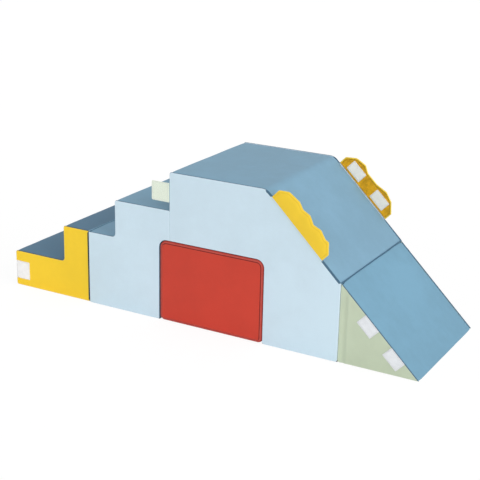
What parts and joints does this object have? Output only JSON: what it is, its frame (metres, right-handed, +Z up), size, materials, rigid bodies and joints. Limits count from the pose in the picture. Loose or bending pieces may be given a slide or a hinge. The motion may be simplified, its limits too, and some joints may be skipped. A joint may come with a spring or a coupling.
{
  "type": "soft play foam climber",
  "caption": "Fold-out soft play climber: padded steps to a deck over a tunnel filled by a play block, then a slide, with scalloped side crests.",
  "frame": {"origin": "on the floor under the middle of the climber", "axes": "+X from the low step towards the toe of the slide, -Y towards the front, +Z up"},
  "size_m": [1.7842, 0.5886, 0.6048],
  "materials": {
    "foam": "expanded foam, cut faces",
    "light_blue": "matt coated fabric",
    "mid_blue": "matt coated fabric, low sheen",
    "dark_blue": "matt coated fabric",
    "yellow": "matt coated fabric",
    "felt_yellow": "brushed felt",
    "red": "matt coated fabric",
    "green": "matt coated fabric",
    "pale_green": "matt webbing",
    "loop_white": "hook-and-loop pile",
    "base_grey": "dotted non-slip fabric",
    "zip_tape": "woven tape with a nylon coil",
    "zip_slider": "plated die casting"
  },
  "bodies": {
    "main_block": {"low_step_hinge_seam": "dark_blue", "main_back_arch_panel": "light_blue", "main_back_stair_panel": "light_blue", "main_base_panel_left": "base_grey", "main_base_panel_right": "base_grey", "main_deck_cover": "mid_blue", "main_foam_beam": "foam", "main_foam_deck": "foam", "main_foam_left_leg": "foam", "main_foam_right_leg": "foam", "main_front_arch_panel": "light_blue", "main_front_stair_panel": "light_blue", "main_left_zip_tape": "zip_tape", "main_right_zip_tape": "zip_tape", "main_stair_cover": "mid_blue", "main_tunnel_lining": "dark_blue", "wedge_hinge_seam": "mid_blue"},
    "low_step": {"low_step_back_panel": "yellow", "low_step_back_patch": "loop_white", "low_step_base_panel": "base_grey", "low_step_foam": "foam", "low_step_front_panel": "yellow", "low_step_front_patch": "loop_white", "low_step_tread_cover": "dark_blue", "low_step_zip_tape": "zip_tape"},
    "wedge": {"wedge_back_panel": "green", "wedge_back_patch_1": "loop_white", "wedge_back_patch_2": "loop_white", "wedge_base_panel": "base_grey", "wedge_foam": "foam", "wedge_front_panel": "green", "wedge_front_patch_1": "loop_white", "wedge_front_patch_2": "loop_white", "wedge_slope_cover": "mid_blue", "wedge_zip_tape": "zip_tape"},
    "insert_block": {"insert_back_panel": "red", "insert_band": "red", "insert_base_panel": "base_grey", "insert_foam": "foam", "insert_front_panel": "red", "insert_zip_tape": "zip_tape"},
    "crest_front": {"crest_front_inner_ply": "felt_yellow", "crest_front_outer_ply": "yellow", "crest_front_patch_1": "loop_white", "crest_front_patch_2": "loop_white", "crest_front_wadding": "foam"},
    "crest_back": {"crest_back_inner_ply": "felt_yellow", "crest_back_outer_ply": "yellow", "crest_back_patch_1": "loop_white", "crest_back_patch_2": "loop_white", "crest_back_wadding": "foam"},
    "tab_front": {"tab_front_patch": "loop_white", "tab_front_ply": "pale_green"},
    "tab_back": {"tab_back_patch": "loop_white", "tab_back_ply": "pale_green"},
    "low_step_zip": {"low_step_zip_slider": "zip_slider"},
    "main_left_zip": {"main_left_zip_slider": "zip_slider"},
    "main_right_zip": {"main_right_zip_slider": "zip_slider"},
    "wedge_zip": {"wedge_zip_slider": "zip_slider"},
    "insert_zip": {"insert_zip_slider": "zip_slider"}
  },
  "joints": [
    {"name": "low_step_fold", "type": "hinge", "parent": "main_block", "child": "low_step", "pos_m": [-0.51461, 0, 0.3005], "axis": [0, 1, 0], "range_deg": [0, 180]},
    {"name": "wedge_fold", "type": "hinge", "parent": "main_block", "child": "wedge", "pos_m": [0.58124, 0, 0.30339], "axis": [0, -1, 0], "range_deg": [0, 180]},
    {"name": "crest_front_fold", "type": "hinge", "parent": "main_block", "child": "crest_front", "pos_m": [0.40424, -0.288, 0.47782], "axis": [0.7165, 0, -0.6976], "range_deg": [0, 164]},
    {"name": "crest_back_fold", "type": "hinge", "parent": "main_block", "child": "crest_back", "pos_m": [0.40424, 0.288, 0.47782], "axis": [-0.7165, 0, 0.6976], "range_deg": [0, 164]},
    {"name": "tab_front_fold", "type": "hinge", "parent": "main_block", "child": "tab_front", "pos_m": [-0.13661, -0.2875, 0.5205], "axis": [0, 0, 1], "range_deg": [0, 170]},
    {"name": "tab_back_fold", "type": "hinge", "parent": "main_block", "child": "tab_back", "pos_m": [-0.13661, 0.2875, 0.5205], "axis": [0, 0, -1], "range_deg": [0, 170]},
    {"name": "insert_slide", "type": "slide", "parent": "main_block", "child": "insert_block", "axis": [0, -1, 0], "range_m": [0, 0.6]},
    {"name": "low_step_zip_slide", "type": "slide", "parent": "low_step", "child": "low_step_zip", "axis": [1, 0, 0], "range_m": [0, 0.3389]},
    {"name": "main_left_zip_slide", "type": "slide", "parent": "main_block", "child": "main_left_zip", "axis": [1, 0, 0], "range_m": [0, 0.2959]},
    {"name": "main_right_zip_slide", "type": "slide", "parent": "main_block", "child": "main_right_zip", "axis": [1, 0, 0], "range_m": [0, 0.2684]},
    {"name": "wedge_zip_slide", "type": "slide", "parent": "wedge", "child": "wedge_zip", "axis": [1, 0, 0], "range_m": [0, 0.242]},
    {"name": "insert_zip_slide", "type": "slide", "parent": "insert_block", "child": "insert_zip", "axis": [1, 0, 0], "range_m": [0, 0.3986]}
  ]
}
